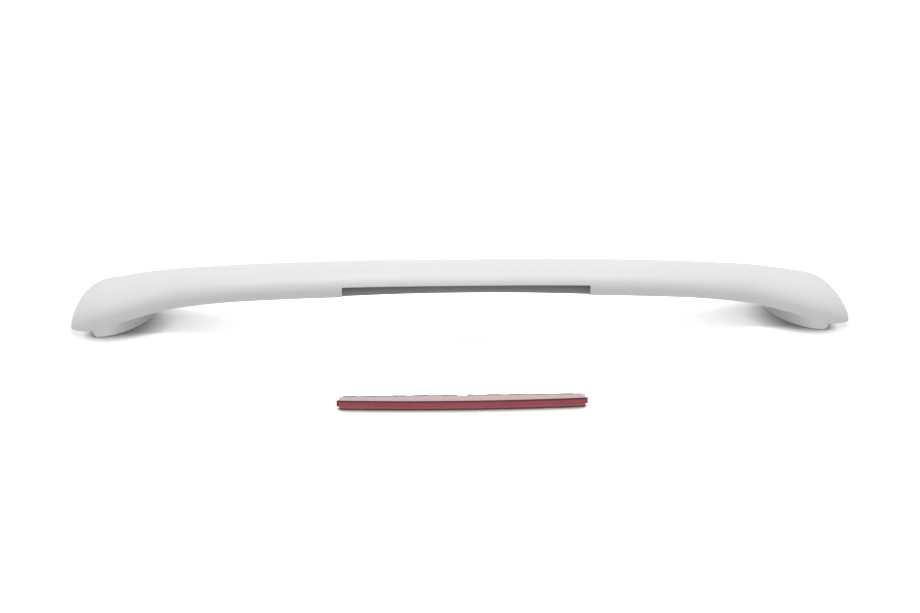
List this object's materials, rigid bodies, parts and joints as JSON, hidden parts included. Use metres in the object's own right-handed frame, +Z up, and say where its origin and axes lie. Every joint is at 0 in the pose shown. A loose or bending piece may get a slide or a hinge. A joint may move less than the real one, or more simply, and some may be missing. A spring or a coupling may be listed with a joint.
{
  "type": "trunk spoiler",
  "caption": "Bowed boot-lid spoiler with rounded ends on two flared feet, a lamp slot in its rear edge, and the red brake lamp strip taken out.",
  "frame": {"origin": "middle of the four threaded inserts in the feet, on the plane of the soles", "axes": "+X across the car to the right as seen from behind, +Y to the front of the car, +Z up from the deck"},
  "size_m": [1.22, 0.3974, 0.1134],
  "materials": {
    "primer": "satin white primer, ready for the car's colour",
    "insert_brass": "machined",
    "lens_red": "clear red, polished",
    "housing_grey": "moulded, satin",
    "board_green": "satin",
    "led_yellow": "gloss",
    "resistor_black": "matte",
    "grommet_rubber": "matte",
    "tape_foam": "soft foam"
  },
  "bodies": {
    "root": {"spoiler_body": "primer", "foot_insert_left_rear": "insert_brass", "foot_insert_left_front": "insert_brass", "foot_insert_right_rear": "insert_brass", "foot_insert_right_front": "insert_brass", "lamp_lens": "lens_red", "lamp_housing": "housing_grey", "lamp_board": "board_green", "lamp_leds": "led_yellow", "lamp_resistors": "resistor_black", "lamp_grommet": "grommet_rubber", "lamp_tape": "tape_foam"}
  },
  "joints": []
}
